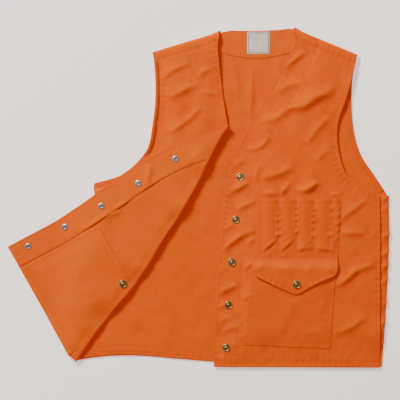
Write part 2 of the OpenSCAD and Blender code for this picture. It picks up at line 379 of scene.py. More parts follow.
def flat_patch(loop, step, seed):
    """Points and triangles filling a closed outline, the outline's own points first."""
    r = np.random.default_rng(seed)
    lo, hi = loop.min(0), loop.max(0)
    gx, gy = np.meshgrid(np.arange(lo[0], hi[0], step), np.arange(lo[1], hi[1], step * ROW))
    gx = gx + 0.5 * step * (np.arange(gx.shape[0]) % 2)[:, None]
    x, y = (g.ravel() + r.uniform(-JITTER, JITTER, g.size) * step for g in (gx, gy))
    keep = inside(x, y, loop)
    x, y = x[keep], y[keep]
    keep = away_from(x, y, closed(loop)) > EDGE_GAP * step
    points = np.concatenate([loop, np.stack([x[keep], y[keep]], 1)])
    found = delaunay_2d_cdt([Vector(p) for p in points], [], [list(range(len(loop)))], 1, 1e-6, False)
    if len(found[0]) != len(points):
        raise ValueError("an outline crosses itself")
    faces = np.array(found[2])
    a, b, c = (points[faces[:, k]] for k in range(3))
    size = np.abs((b[:, 0] - a[:, 0]) * (c[:, 1] - a[:, 1]) - (b[:, 1] - a[:, 1]) * (c[:, 0] - a[:, 0]))
    x, y = points[faces].mean(1).T
    return points, faces[(size > SLIVER) & inside(x, y, loop)]


def patch(loop, height, step=STEP, place=None, seed=1):
    """A surface over a closed outline, its height given in plan, then moved by place."""
    xy, faces = flat_patch(loop, step, seed)
    z = height(xy[:, 0], xy[:, 1])
    return Surface(np.column_stack([place(xy) if place else xy, z]), faces, np.arange(len(loop)))


def grid(rows):
    """A surface through rows of points, an array of (rows, columns, 3)."""
    n, m = rows.shape[:2]
    i, j = np.meshgrid(np.arange(n - 1), np.arange(m - 1), indexing="ij")
    a = (i * m + j).ravel()
    faces = np.stack([a, a + m, a + m + 1, a + 1], 1)
    border = np.concatenate([
        np.arange(0, n * m, m)[:-1], (n - 1) * m + np.arange(m - 1),
        np.arange(n * m - 1, 0, -m)[:n - 1], np.arange(m - 1, 0, -1),
    ])
    return Surface(rows.reshape(-1, 3), faces, border)


TOUCHING = 0.05  # border points this near to each other are one place


def join(*surfaces):
    """Gives surfaces that meet the same normals where their borders touch."""
    start = [s.normals.copy() for s in surfaces]
    for a, na in zip(surfaces, start):
        pa = a.points[a.border]
        for b, nb in zip(surfaces, start):
            if a is b:
                continue
            pb = b.points[b.border]
            for i, p in enumerate(pa):
                gap = np.abs(pb - p).sum(1)
                j = int(np.argmin(gap))
                if gap[j] < TOUCHING:
                    mine, other = na[a.border[i]], nb[b.border[j]]
                    a.normals[a.border[i]] += other if mine @ other > 0 else -other
                    a.cut[i] = True


RIM = np.radians([48, 0, -48])  # the slopes of the facets round a sheet's edge


def shell(name, s, thick, material):
    """A closed piece of cloth of that thickness round a surface, with rounded edges."""
    n = unit(s.normals)
    half = thick / 2
    bp, bn = s.points[s.border], n[s.border]
    out = unit(np.cross(np.roll(bp, -1, axis=0) - np.roll(bp, 1, axis=0), bn))
    push = np.where(s.cut[:, None], 0.0, 1.0)
    points, normals = [s.points + n * half, s.points - n * half], [n, -n]
    for a in RIM:
        points.append(bp + half * (bn * math.sin(a) + push * out * math.cos(a)))
        normals.append(unit(bn * math.sin(a) + out * math.cos(a)))
    count, ring = len(n), len(s.border)
    rings = [s.border] + [2 * count + k * ring + np.arange(ring) for k in range(len(RIM))]
    rings.append(s.border + count)
    faces = s.faces.tolist() + (s.faces + count)[:, ::-1].tolist()
    for a, b in zip(rings[:-1], rings[1:]):
        faces += np.stack([a, b, np.roll(b, -1), np.roll(a, -1)], 1).tolist()
    return solid(name, np.concatenate(points), faces, [material], np.concatenate(normals))


def solid(name, points, faces, materials, normals=None, index=None):
    """An object from points in mm, with smooth shading."""
    mesh = bpy.data.meshes.new(name)
    mesh.from_pydata((np.asarray(points) * MM).tolist(), [], faces)
    for m in materials:
        mesh.materials.append(m)
    mesh.polygons.foreach_set("use_smooth", [True] * len(mesh.polygons))
    if index is not None:
        mesh.polygons.foreach_set("material_index", index)
    if normals is not None:
        mesh.normals_split_custom_set_from_vertices(normals.tolist())
    mesh.validate(verbose=False)
    obj = bpy.data.objects.new(name, mesh)
    bpy.context.scene.collection.objects.link(obj)
    return obj


# ---------------------------------------------------------------- outlines of the main pieces
HEM_DIP = -22.0  # the turned-back front's hem meets its fold this far below the fold's own end
fold_length = float(down_fold(*max(cad_loop("right_chest_panel"), key=lambda p: (
    down_fold(*p) if abs(from_fold(*p)) < 1 else 0))))
fold_top = on_fold(fold_length)[0]
fold_run = on_fold(np.linspace(0, fold_length, int(fold_length / STEP)))
fold_tail = on_fold(np.linspace(HEM_DIP, 0, 8)[:-1])


def left_outline():
    """The left front's outline with the strip that stays down, as one sheet."""
    parts = []
    for loop in (cad_loop("left_side_front"), cad_loop("left_front_panel")):
        off = np.abs((loop[:, 0] - turn_at[0]) * turn_u[1] - (loop[:, 1] - turn_at[1]) * turn_u[0]) > 1.2
        first = next(i for i in range(len(loop)) if off[i] and not off[i - 1])
        parts.append(np.roll(loop, -first, axis=0)[np.roll(off, -first)])
    return smooth_loop(np.concatenate(parts + [turn_at[None, :2]]))


def leaf_outline():
    """The turned-back front's outline, its fold edge on the fold line."""
    loop = smooth_loop(cad_loop("right_front_panel"))
    low = loop[nearest(loop, fold_tail[0] + 12 * unit(on_fold(0)[0] + 60 * fold_out - fold_tail[0]))]
    return with_run(loop, low, fold_top, np.concatenate([fold_tail, fold_run]))


def low_corner(loop):
    """An outline's corner at its hem, on the wearer's right."""
    return loop[np.argmin(loop @ [1, 1])]


def share(loop_a, loop_b, a0, a1, b0, b1, count):
    """Gives two outlines the same number of points along the edges a wrap joins."""
    run_a = evenly(run_between(loop_a, a0, a1), count)
    run_b = evenly(run_between(loop_b, b0, b1), count)
    return with_run(loop_a, a0, a1, run_a), with_run(loop_b, b0, b1, run_b), run_a, run_b


back_loop = smooth_loop(cad_loop("back_panel"))
left_loop = left_outline()
leaf_loop = leaf_outline()
chest_loop = with_run(smooth_loop(cad_loop("right_chest_panel")), fold_at, fold_top, fold_run)

SIDE_ROWS, SHOULDER_ROWS = 96, 40  # rows of points along the wraps at the sides and shoulders
left_loop, back_loop, left_seam, left_back = share(
    left_loop, back_loop, turn_at, seam_top, hem_l, arm_l, SIDE_ROWS)
left_loop, back_loop, left_top, left_top_back = share(
    left_loop, back_loop, tip_l, neck_l, tip_l, neck_l, SHOULDER_ROWS)
chest_loop, back_loop, right_top, right_top_back = share(
    chest_loop, back_loop, neck_r, tip_r, neck_r, tip_r, SHOULDER_ROWS)
chest_loop, back_loop, right_side, right_back = share(
    chest_loop, back_loop, arm_r, side_end, arm_r, side_end, SIDE_ROWS)

left_free = run_between(left_loop, neck_l, turn_at)
left_arm = run_between(left_loop, seam_top, tip_l)
left_hem = run_between(left_loop, low_corner(left_loop), turn_at)
left_edge = run_between(left_loop, neck_l, low_corner(left_loop))
chest_neck = run_between(chest_loop, fold_top, neck_r)
chest_arm = run_between(chest_loop, tip_r, arm_r)
leaf_far = leaf_loop[np.argmin(leaf_loop[:, 0])]
leaf_front = run_between(leaf_loop, fold_top, leaf_far)
leaf_hem = run_between(leaf_loop, leaf_far, on_fold(HEM_DIP)[0])
back_neck = run_between(back_loop, neck_l, neck_r)
back_hem = run_between(back_loop, low_corner(back_loop), hem_l)
back_side = run_between(back_loop, tip_r, low_corner(back_loop))
back_arm_l = run_between(back_loop, arm_l, tip_l)
back_arm_r = run_between(back_loop, tip_r, arm_r)

# ---------------------------------------------------------------- how the cloth lies
# How far the visible fold bows away from its straight hinge line, by distance up from the hem
FOLD_BOW = ((-24, -9), (0, -8), (52, -6), (101, 0), (146, 6), (197, 9), (255, 7), (314, 8.5), (373, 6),
            (413, 2), (452, -2), (498, -7), (523, -4))
bow_line = resample(FOLD_BOW, 3.0, soften=12)
underarm = np.array(arm_r) + (9, 22)  # the middle of the right underarm's slumped corner
SLUMP = np.array([-9.0, -2.5])  # how far that corner is drawn out
LEDGE = (-203, -3)  # where the back's edge is tucked in beside the turned-back front


def slumped(xy):
    """Draws the right underarm corner out, where its loose layers slump sideways."""
    return xy + bell(np.linalg.norm(xy - underarm, axis=1), 20)[:, None] * SLUMP


def bowed(xy):
    """Moves points in plan so that the fold line bows, as a soft fold does."""
    shift = np.interp(down_fold(*xy.T), *bow_line.T) * bell(from_fold(*xy.T), 45)
    return slumped(xy - shift[:, None] * fold_out)


def splayed(xy):
    """Moves the back's edges in plan: in at the left hem, out at the right hem, up at the neck's ends."""
    x, y = xy.T
    left = 15 * np.clip((-y - 60) / 262, 0, 1) ** 1.6 * sheer(x, 290, 352)
    right = 13 * smoothstep((-y - 190) / 125) * sheer(-x, 150, 222)
    neck = 5.0 * bell(x - neck_l[0] + 4, 14) + 5.5 * bell(x - neck_r[0] - 2, 11)
    neck = neck * sheer(y, neck_l[1] - 25, neck_l[1] - 4)
    corner = bell(np.hypot(x - arm_l[0], y - arm_l[1]), 20)
    tuck = bell(np.hypot(x - LEDGE[0], y - LEDGE[1]), 13)
    return slumped(np.column_stack([x - left - right + 2 * corner + 5 * tuck, y + neck + 3 * corner]))


def hung(xy):
    """Lets the left front's hem down, most at its front corner."""
    x, y = xy.T
    drop = (7.5 - 5.5 * np.clip((x - 45) / 305, 0, 1)) * sheer(-y, 265, 322)
    return np.column_stack([x, y - drop])


def leaned(xy):
    """Draws the chest pocket, its flap and the shell loops askew with the cloth below them."""
    x, y = xy.T
    left = (1 - sheer(x, 112, 205)) * sheer(-y, 112, 155)
    right = sheer(x, 200, 275) * sheer(-y, 5, 95)
    return np.column_stack([x - 5 * left - 4.5 * right, y + 4.5 * left - 2 * right * sheer(-y, 200, 290)])


back_rumple = rumple(11, 0.22, 0.16, 0.05)
left_rumple = rumple(21, 0.50, 0.16, 0.05)
chest_rumple = rumple(31, 0.50, 0.16, 0.05)
leaf_rumple = rumple(41, 0.50, 0.07, 0.03)

# Each table of folds gives ridges as (half width, height, points)
BACK_FOLDS = (
    (5, 0.9, ((102, 262), (102, 225), (101, 190), (100, 112))),
    (7, 0.8, ((150, 268), (160, 230), (152, 190))),
    (6, 0.7, ((60, 262), (75, 225), (72, 185))),
)
back_seams = grooves(
    (0.3, 0.25, 12, back_arm_l, 9), (0.3, 0.25, 12, back_arm_r, 9),
    (0.3, 0.2, 13, back_hem, 9), (0.2, 0.2, 10, back_neck, 4))
BACK_HIGH = 1.5  # the back's middle height
ARM_RISE = 6.4  # how high the back's right armhole edge stands


def back_z(x, y):
    """The back lies flat; its right armhole edge stands up beside the front's."""
    beside = near_by(away_from(x, y, back_arm_r) - 4.5, 5.5)
    stand = ARM_RISE * beside * sheer(y, 60, 110) * (1 - sheer(y, 262, 284))
    return BACK_HIGH + stand + back_rumple(x, y) + folds(BACK_FOLDS, x, y) + seams(back_seams, x, y)


LEFT_FOLDS = (
    # from the shoulder and the armhole
    (6, 1.9, ((160, 249), (184, 268), (208, 286))),
    (8, 2.2, ((120, 149), (157, 157), (173, 178), (202, 175), (229, 196), (264, 206))),
    (12, 1.6, ((190, 182), (233, 202), (275, 219))),
    (8, 1.4, ((150, 205), (176, 222), (205, 226))),
    (7, 1.5, ((208, 104), (227, 132), (253, 159))),
    (7, 1.0, ((225, 70), (246, 92), (262, 96))),
    # down the front edge
    (5, 1.3, ((93, 95), (120, 98), (134, 112), (139, 126))),
    (5, 1.0, ((65, 58), (75, 69), (91, 74))), (5, 0.9, ((109, 30), (112, 50), (117, 68))),
    (6, 1.3, ((54, 9), (77, 20), (99, 33))), (5, 1.0, ((70, 14), (82, 22), (94, 26))),
    (6, 1.4, ((71, -23), (91, -13), (111, -4))), (5, 1.0, ((46, -62), (58, -55), (71, -50))),
    (6, 2.2, ((45, -103), (65, -85), (87, -69), (109, -62))), (5, 1.2, ((92, -90), (109, -76))),
    (5, 1.1, ((87, -137), (98, -131), (108, -121))), (5, 0.9, ((38, -146), (51, -131))),
    (6, 1.8, ((36, -187), (54, -177), (76, -167))), (5, 0.8, ((84, -195), (96, -191), (108, -188))),
    (5, 1.0, ((34, -217), (46, -209), (59, -202))), (6, 0.9, ((36, -243), (50, -234), (67, -228))),
    (6, 1.1, ((44, -262), (62, -250), (84, -246))),
    # over the shell loops
    (8, 1.8, ((118, 39), (153, 46), (184, 62))),
    (6, 1.3, ((190, 16), (215, 17), (229, 33))), (5, 0.9, ((158, 5), (169, 21))),
    (5, 1.7, ((124, 8), (138, 10), (153, 8))), (6, 1.4, ((162, 10), (169, 18), (175, 32))),
    (7, 1.9, ((197, 12), (214, 17), (234, 33))), (5, 1.1, ((254, 7), (265, 8), (276, 7))),
    # between the pocket and the side seam
    (6, 1.5, ((274, -42), (290, -30), (307, -17), (326, -2))),
    (6, 1.4, ((276, -65), (299, -69), (327, -66))),
    (6, 2.2, ((268, -171), (288, -157), (308, -140))), (6, 1.7, ((288, -146), (315, -137), (340, -127))),
    (7, 1.4, ((262, -262), (290, -254), (330, -228))),
)
left_seams = grooves(
    (0.3, 0.40, 11, left_edge, 4), (0.35, 0.30, 15, left_edge, 44), (0.3, 0.40, 12, left_hem, 10),
    (0.35, 0.45, 11, left_arm, 9), (0.5, 0.35, 12, left_top, 11), (0.3, 0.4, 12, left_seam, 5))
LEFT_LOW, LEFT_LOFT = 4.4, 4.6  # the left front's height at its free edge, and its rise inside


def left_z(x, y):
    """The left front: low at its free edge, higher inside, with a swell in the armhole's upper half."""
    edge, arm, top = (away_from(x, y, run) for run in (left_free, left_arm, left_top))
    loft = np.maximum(smoothstep(edge / 75), 0.62 * near_by(top, 70))
    z = LEFT_LOW + LEFT_LOFT * loft - 1.5 * near_by(arm, 45) * loft
    z = z + 3.4 * near_by(arm, 30) * bell(y - 215, 42)
    calm = 0.45 + 0.55 * smoothstep(edge / 12)
    return z + calm * (left_rumple(x, y) + folds(LEFT_FOLDS, x, y)) + seams(left_seams, x, y)


CHEST_FOLDS = (
    # bunched at the underarm, two of them grooves
    (4.0, -1.5, ((-199, 28), (-184, 30), (-164, 27))), (4.0, -1.4, ((-202, 20), (-188, 22), (-170, 22))),
    (3.2, 1.2, ((-204, 11), (-190, 14), (-176, 16))),
    # over the chest
    (7, 1.0, ((-40, 205), (-20, 212), (0, 224))), (6, 1.5, ((-74, 227), (-63, 241), (-44, 253), (-17, 263))),
    (6, 1.1, ((-5, 238), (13, 247), (30, 255))), (5, 1.1, ((-20, 151), (-7, 165), (6, 177))),
    (6, 1.5, ((-60, 126), (-36, 141), (-13, 158))), (4, 0.9, ((9, 208), (26, 204), (40, 200))),
    (7, 1.2, ((-62, 196), (-38, 204), (-12, 222))),
)
chest_seams = grooves(
    (0.35, 0.35, 11, chest_arm, 9), (0.35, 0.35, 11, chest_neck, 5), (0.55, 0.35, 12, right_top, 11))
CHEST_HIGH, CHEST_SWING = 8.6, 3.2  # the chest layer's height, and how far its neck edge departs from it


# At the right front's fold: the lower layer's height at the hem and its rise up to the neck, then the
# gap between the two layers at the hem and how much wider it gets
FOLD_LOW, FOLD_RISE, FOLD_GAP, FOLD_WIDENS = 2.7, 4.6, 6.1, 2.0


def fold_low(s):
    """Height of the right front's lower layer at the fold, by distance up from the hem."""
    return FOLD_LOW + FOLD_RISE * np.clip(s / fold_length, 0, 1) + 0.4 * np.sin(s / 17.3 + 0.6)


def fold_high(s):
    """Height of the turned-back layer at the fold."""
    wobble = 0.8 * np.sin(s / 17.3 + 0.6) + 1.6 * np.sin(s / 9.3 + 2.0) * np.sin(s / 41.0)
    return fold_low(s) + FOLD_GAP + FOLD_WIDENS * np.clip(s / fold_length, 0, 1) + wobble


def chest_z(x, y):
    """The right front's lower layer: its neck edge sinks lower down and rises at the shoulder."""
    d, s = np.maximum(from_fold(x, y), 0), down_fold(x, y)
    inner = CHEST_HIGH - 3.4 * near_by(away_from(x, y, chest_arm), 40) * smoothstep(d / 60)
    swing = CHEST_SWING * (sheer(y, 240, 300) - 1 + sheer(y, 190, 260))
    inner = inner + swing * near_by(away_from(x, y, chest_neck), 45) * smoothstep(d / 40)
    w = smoothstep(d / 50)
    wild = smoothstep(d / 14) * (chest_rumple(x, y) + folds(CHEST_FOLDS, x, y))
    return fold_low(s) * (1 - w) + inner * w + wild + smoothstep(d / 8) * seams(chest_seams, x, y)


LEAF_FOLDS = (
    (7, 1.4, ((-95, 67), (-98, 44), (-104, 19))),
    (6, 1.1, ((-186, -37), (-169, -30), (-151, -24))),
    (8, 0.6, ((20, 100), (-8, 84), (-30, 60))),
    (12, 0.4, ((-60, -20), (-82, -52), (-96, -92))),
    (14, 0.4, ((-205, -90), (-232, -140), (-250, -190))),
)
leaf_seams = grooves(
    (0.3, 0.25, 12, leaf_front, 4), (0.4, 0.30, 14, leaf_front, 45), (0.3, 0.30, 12, leaf_hem, 9))
LEAF_HIGH, LEAF_LOW = 12.9, 1.8  # the turned-back front's height over the vest, and over the floor


def leaf_z(x, y):
    """The turned-back front, falling from the vest to the floor beyond the back's side edge."""
    d, s = np.maximum(from_fold(x, y), 0), down_fold(x, y)
    side = away_from(x, y, back_side)
    fall = smoothstep((np.where(inside(x, y, back_loop), -side, side) + 14) / 96)
    front = away_from(x, y, leaf_front)
    rest = LEAF_HIGH * (1 - fall) + (LEAF_LOW + 2.1 * bell(front, 55)) * fall
    w = smoothstep(d / 45)
    wild = smoothstep(d / 14) * (1 - 0.55 * fall) * (leaf_rumple(x, y) + folds(LEAF_FOLDS, x, y))
    lift = 0.5 * near_by(front, 30) * fall
    return fold_high(s) * (1 - w) + rest * w + wild + lift + smoothstep(d / 8) * seams(leaf_seams, x, y)


# ---------------------------------------------------------------- materials
def new_material(name):
    m = bpy.data.materials.new(name)
    m.use_nodes = True
    tree = m.node_tree
    return m, tree, tree.nodes["Principled BSDF"]


def on_object(tree):
    """The place on the object, in its own coordinates."""
    return tree.nodes.new("ShaderNodeTexCoord").outputs["Object"]


def fill(tree, node, sockets):
    """Sets a node's sockets, each to a value or to another node's output."""
    for socket, value in sockets.items():
        if isinstance(value, bpy.types.NodeSocket):
            tree.links.new(value, node.inputs[socket])
        else:
            node.inputs[socket].default_value = value


def make(tree, kind, sockets, **settings):
    """A shader node with its settings and sockets set."""
    node = tree.nodes.new(kind)
    for key, value in settings.items():
        setattr(node, key, value)
    fill(tree, node, sockets)
    return node


def noise(tree, where, scale, detail, rough, stretch=(1, 1, 1)):
    """Noise by place on the object, its features about 1/scale metres across."""
    mapped = make(tree, "ShaderNodeMapping", {"Scale": stretch, "Vector": where}).outputs["Vector"]
    return make(tree, "ShaderNodeTexNoise", {
        "Scale": scale, "Detail": detail, "Roughness": rough, "Vector": mapped}).outputs["Fac"]


def mix_colour(tree, fac, a, b):
    return make(tree, "ShaderNodeMix", {0: fac, 6: a, 7: b}, data_type="RGBA").outputs[2]


def ramp(tree, value, low, high, a=0.0, b=1.0):
    """A value mapped from the range low to high to the range a to b."""
    return make(tree, "ShaderNodeMapRange", {
        "Value": value, "From Min": low, "From Max": high, "To Min": a, "To Max": b}).outputs["Result"]


def maths(tree, operation, a, b):
    return make(tree, "ShaderNodeMath", {0: a, 1: b}, operation=operation).outputs[0]


def canvas(name, light, deep, weave=0.3, painted_glow=0.17):
    """Cotton duck with a fluorescent dye: two threads and slubs, a painted red glow, a painted highlight on
    crests and painted shade in valleys, darker and redder.
    """
    m, tree, bsdf = new_material(name)
    where = on_object(tree)
    shade = tuple(0.62 * c for c in deep) + (1,)
    # Painted highlight: pale, also the tone of the paler slubs, lightens crests. Painted shade: the tone
    # below, darker and redder, fills valleys.
    pale = (1.05 * light[0], 1.20 * light[1], 1.1 * light[2], 1)
    painted_valley_shade = (0.94 * deep[0], 0.45 * deep[1], deep[2], 1)
    mottle = ramp(tree, noise(tree, where, 26, 6, 0.6), 0.30, 0.72)
    colour = mix_colour(tree, mottle, deep + (1,), light + (1,))
    for stretch, tone in (((1, 22, 1), shade), ((22, 1, 1), pale)):
        slub = ramp(tree, noise(tree, where, 60, 3, 0.6, stretch), 0.5, 0.75, 0, 0.18)
        colour = mix_colour(tree, slub, colour, tone)
    crest = make(tree, "ShaderNodeAttribute", {}, attribute_name="crest").outputs["Fac"]
    # Painted highlight on crests and painted shade in valleys, set by the crest attribute.
    for low, high, tone in ((0.52, 0.95, pale), (0.46, 0.05, painted_valley_shade)):
        colour = mix_colour(tree, ramp(tree, crest, low, high, 0, 0.6), colour, tone)
    threads = [make(tree, "ShaderNodeTexWave", {
        "Scale": 300, "Distortion": 1.2, "Detail Scale": 2, "Vector": where},
        bands_direction=way).outputs["Fac"] for way in ("X", "Y")]
    relief = maths(tree, "ADD", maths(tree, "MULTIPLY", *threads), noise(tree, where, 420, 5, 0.65))
    bump = make(tree, "ShaderNodeBump", {"Strength": weave, "Distance": 0.0006, "Height": relief})
    # Painted glow: the emission adds red light to the whole cloth, most telling in its shade.
    fill(tree, bsdf, {
        "Base Color": colour, "Roughness": 0.9, "Specular IOR Level": 0.06, "Normal": bump.outputs["Normal"],
        "Sheen Weight": 0.03, "Sheen Roughness": 0.5, "Sheen Tint": (1.0, 0.35, 0.1, 1),
        "Emission Color": (1.0, 0.035, 0.006, 1), "Emission Strength": painted_glow,
    })
    return m


def metal(name, light, dark, rough, metallic=1.0):
    """Plated metal, tarnished in patches."""
    m, tree, bsdf = new_material(name)
    stains = noise(tree, on_object(tree), 900, 5, 0.6)
    fill(tree, bsdf, {
        "Base Color": mix_colour(tree, ramp(tree, stains, 0.38, 0.62), dark + (1,), light + (1,)),
        "Roughness": ramp(tree, stains, 0.3, 0.7, rough + 0.12, rough - 0.08), "Metallic": metallic,
    })
    return m


orange = canvas("blaze_canvas", (0.62, 0.104, 0.0010), (0.59, 0.094, 0.0008))
inner_orange = canvas("blaze_canvas_inside", (0.63, 0.112, 0.0011), (0.60, 0.102, 0.0009))
pocket_orange = canvas("blaze_canvas_pocket", (0.61, 0.100, 0.0010), (0.58, 0.090, 0.0008))
lining = canvas("blaze_canvas_facing", (0.60, 0.096, 0.0010), (0.56, 0.086, 0.0008))
thread = canvas("orange_thread", (0.54, 0.072, 0.0010), (0.48, 0.058, 0.0010), weave=0.1)
label_cloth = canvas("woven_label", (0.80, 0.73, 0.68), (0.68, 0.60, 0.56), weave=0.5, painted_glow=0.0)
label_edge = canvas("woven_label_border", (0.48, 0.36, 0.31), (0.38, 0.28, 0.24), weave=0.5, painted_glow=0.0)
brass = metal("brass", (0.50, 0.40, 0.19), (0.30, 0.24, 0.10), 0.34)
patina = metal("patina", (0.075, 0.095, 0.035), (0.035, 0.05, 0.018), 0.6, 0.5)
copper = metal("brass_centre", (0.44, 0.31, 0.11), (0.29, 0.19, 0.06), 0.42)
silver = metal("nickel", (0.54, 0.55, 0.53), (0.36, 0.38, 0.37), 0.38)
steel_blue = metal("dark_steel", (0.26, 0.34, 0.33), (0.17, 0.23, 0.225), 0.46)


# ---------------------------------------------------------------- dressing a piece
AROUND = np.linspace(0, 2 * math.pi, 8, endpoint=False)
CREST_SCALE = 1.5  # a point half this far above its surroundings is a full crest


def mark_crests(obj, s, height, reach=7.0):
    """Stores how far each point stands above its surroundings, for the painted highlight on crests and the
    painted shade in valleys.
    """
    x, y = s.points[:, 0], s.points[:, 1]
    level = sum(height(x + reach * math.cos(a), y + reach * math.sin(a)) for a in AROUND) / len(AROUND)
    crest = np.clip(0.5 + (height(x, y) - level) / CREST_SCALE, 0, 1)
    # The rim's points get a quarter more: a painted highlight along every edge.
    put_crest(obj, np.concatenate([crest, crest] + [crest[s.border] + 0.25] * len(RIM)))


def put_crest(obj, values):
    """Stores a piece's crest values, which set its painted highlight and painted shade, point by point or
    the same all over.
    """
    store = obj.data.attributes.new("crest", "FLOAT", "POINT")
    values = np.clip(np.broadcast_to(values, (len(obj.data.vertices),)), 0, 1)
    store.data.foreach_set("value", values.astype(np.float32))


def flat_size(s):
    """The width and length of the rectangle with a surface's area and outline length."""
    area = s.area()
    half = lengths(closed(s.points[s.border]))[-1] / 2
    w, l = sorted(s.points.max(0)[:2] - s.points.min(0)[:2])
    if 0.55 * w * l < area <= w * l:
        return (w * MM, l * MM), area * MM * MM
    width = max((half - math.sqrt(max(half * half - 4 * area, 0))) / 2, 10.2)
    return (width * MM, area / width * MM), None


def cloth(name, s, thick, material, nodes, held, below):
    """Makes and names one sheet of cloth, and hides its CAD nodes."""
    obj = shell(name + "_cloth", s, thick, material)
    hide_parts(*nodes)
    flat, area = flat_size(s)
    list(below)
    return obj


def bend_fold(obj):
    """Bakes a piece's transform into its points; the piece lies between the chest layer and the turned-back
    layer.
    """
    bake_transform(obj)


def bend_left(obj):
    """Bakes a piece's transform into its points; the piece lies across the left front's fold, from the strip
    that stays to its leaf.
    """
    across = Vector((turn_out[0], turn_out[1], 0))
    if (Vector(neck_l) - Vector(turn_at[:2])).dot(across.to_2d()) > 0:
        across = -across
    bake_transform(obj)


def attach(obj, body):
    """Lets a piece ride on a body, or, where body is a function, hands the piece to it."""
    if callable(body):
        body(obj)
    else:
        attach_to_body(obj, body)


def wrap_rows(front, back, out, near, far, steps, crown=0.0):
    """Rows of points from a front edge round to a back edge, bulging outward and crowned."""
    t = np.linspace(0, 1, steps)[None, :, None]
    o = np.array([out[0], out[1], 0.0])
    p0, p3 = front[:, None, :], back[:, None, :]
    p1, p2 = p0 + np.reshape(near, (-1, 1, 1)) * o + [0, 0, crown], p3 + far * o
    return (1 - t) ** 3 * p0 + 3 * (1 - t) ** 2 * t * p1 + 3 * (1 - t) * t * t * p2 + t ** 3 * p3


def lifted(run, height, place=None):
    return np.column_stack([place(run) if place else run, height(*run.T)])


MIDDLE = np.array([60.0, 0.0])  # a point well inside the vest, in plan


def outward(run):
    """The direction in plan across a run, away from the middle of the vest."""
    u = unit(run[-1] - run[0])
    n = np.array([-u[1], u[0]])
    return n if (run.mean(0) - MIDDLE) @ n > 0 else -n


# ---------------------------------------------------------------- stitching
STITCH, STITCH_PITCH = 2.3, 3.4  # a stitch's length, and the spacing of the stitches
SUNK = 0.15  # how deep a stitch's ends go into the cloth
# Round a stitch's middle: distance aside and up of its top, side, underside and other side
STITCH_ROUND = ((0, 0.30), (0.42, 0.05), (0, -0.25), (-0.42, 0.05))


def stitches(name, runs, top, body, place=None):
    """Rows of thread lying on a surface, each run (points, distance aside)."""
    middles, ways = [], []
    for line, aside in runs:
        run = resample(offset_run(line, aside) if aside else line, STITCH_PITCH, soften=2)
        middles.append(run[1:-1])
        ways.append(unit(np.gradient(run, axis=0))[1:-1])
    mid, way = np.concatenate(middles), np.concatenate(ways)
    start, end, centre = (lifted(mid + t * way, top, place) for t in (-STITCH / 2, STITCH / 2, 0))
    side = unit(np.cross([0, 0, 1], end - start))
    up = np.array([0, 0, 1.0])
    rows = [start - SUNK * up, end - SUNK * up] + [centre + a * side + b * up for a, b in STITCH_ROUND]
    points = np.stack(rows, 1).reshape(-1, 3)
    one = [(0, 2 + (k + 1) % 4, 2 + k) for k in range(4)] + [(1, 2 + k, 2 + (k + 1) % 4) for k in range(4)]
    faces = (np.arange(len(mid))[:, None, None] * 6 + np.array(one)).reshape(-1, 3)
    obj = solid(name, points, faces.tolist(), [thread])
    # A crest value just over one half: a faint painted highlight on the thread.
    put_crest(obj, 0.55)
    attach(obj, body)


# ---------------------------------------------------------------- snaps
# Profiles from the underside up and in to the centre, (radius, height)
CAP = ((5.2, 0.0), (7.0, 0.0), (7.5, 0.35), (7.62, 0.8), (7.5, 1.3), (7.1, 1.75), (6.5, 2.0), (5.9, 1.95),
       (5.45, 1.65), (5.2, 1.3), (4.4, 1.2), (3.7, 1.3), (3.3, 1.6), (2.9, 1.95), (2.2, 2.2), (1.3, 2.35),
       (0.5, 2.4))
SOCKET = ((3.4, 0.2), (3.2, 0.9), (3.6, 1.7), (4.4, 1.9), (5.0, 1.6), (5.3, 0.9), (6.0, 0.65), (6.5, 0.5),
          (6.6, 0.2), (6.2, 0.0))
POST = ((6.1, 0.0), (6.5, 0.25), (6.4, 0.6), (5.9, 0.85), (5.1, 0.8), (4.7, 1.05), (4.5, 1.45), (4.0, 1.7),
        (3.4, 1.65), (3.05, 1.3), (2.9, 0.8), (2.3, 0.7), (1.5, 0.8), (0.5, 0.85))
STUD = ((6.0, 0.0), (6.3, 0.2), (6.2, 0.5), (5.6, 0.7), (3.4, 0.75), (2.9, 1.1), (2.75, 1.8), (2.9, 2.2),
        (2.6, 2.6), (1.8, 2.75), (0.5, 2.8))
SEGMENTS = 40  # facets round a turned part


def snap_kind(profile, materials, counts, slot):
    """A kind of snap part: its profile, and how many of its rings take each material in turn."""
    zones = [k for k, count in enumerate(counts) for _ in range(count)]
    return profile, materials, zones, slot


CAPS = snap_kind(CAP, [brass, patina, copper], (8, 4, 4), "brass_snap")
SOCKETS = snap_kind(SOCKET, [brass], (9,), "brass_snap")
POSTS = snap_kind(POST, [silver, steel_blue], (9, 4), "silver_snap")
STUDS = snap_kind(STUD, [silver], (10,), "silver_snap")


def turned(name, kind, at, normal, body):
    """A turned metal part: rings of (radius, height) joined round an axis, closed at both ends."""
    profile, materials, rings, slot = kind
    angles = [2 * math.pi * k / SEGMENTS for k in range(SEGMENTS)]
    points = [(r * math.cos(a), r * math.sin(a), z) for r, z in profile for a in angles]
    faces, zones = [], []
    for i, zone in enumerate(rings):
        for k in range(SEGMENTS):
            a, b = i * SEGMENTS + k, i * SEGMENTS + (k + 1) % SEGMENTS
            faces.append((a, b, b + SEGMENTS, a + SEGMENTS))
            zones.append(zone)
    for ring, turn, zone in ((0, -1, rings[0]), (len(profile) - 1, 1, rings[-1])):
        faces.append(tuple(ring * SEGMENTS + k for k in range(SEGMENTS))[::turn])
        zones.append(zone)
    twist = Vector((0, 0, 1)).rotation_difference(Vector(normal)).to_matrix()
    spun = np.array([tuple(twist @ Vector(p)) for p in points]) + at
    obj = solid(name + "_metal", spun, faces, materials, index=zones)
    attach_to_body(obj, body)
    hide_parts(name)


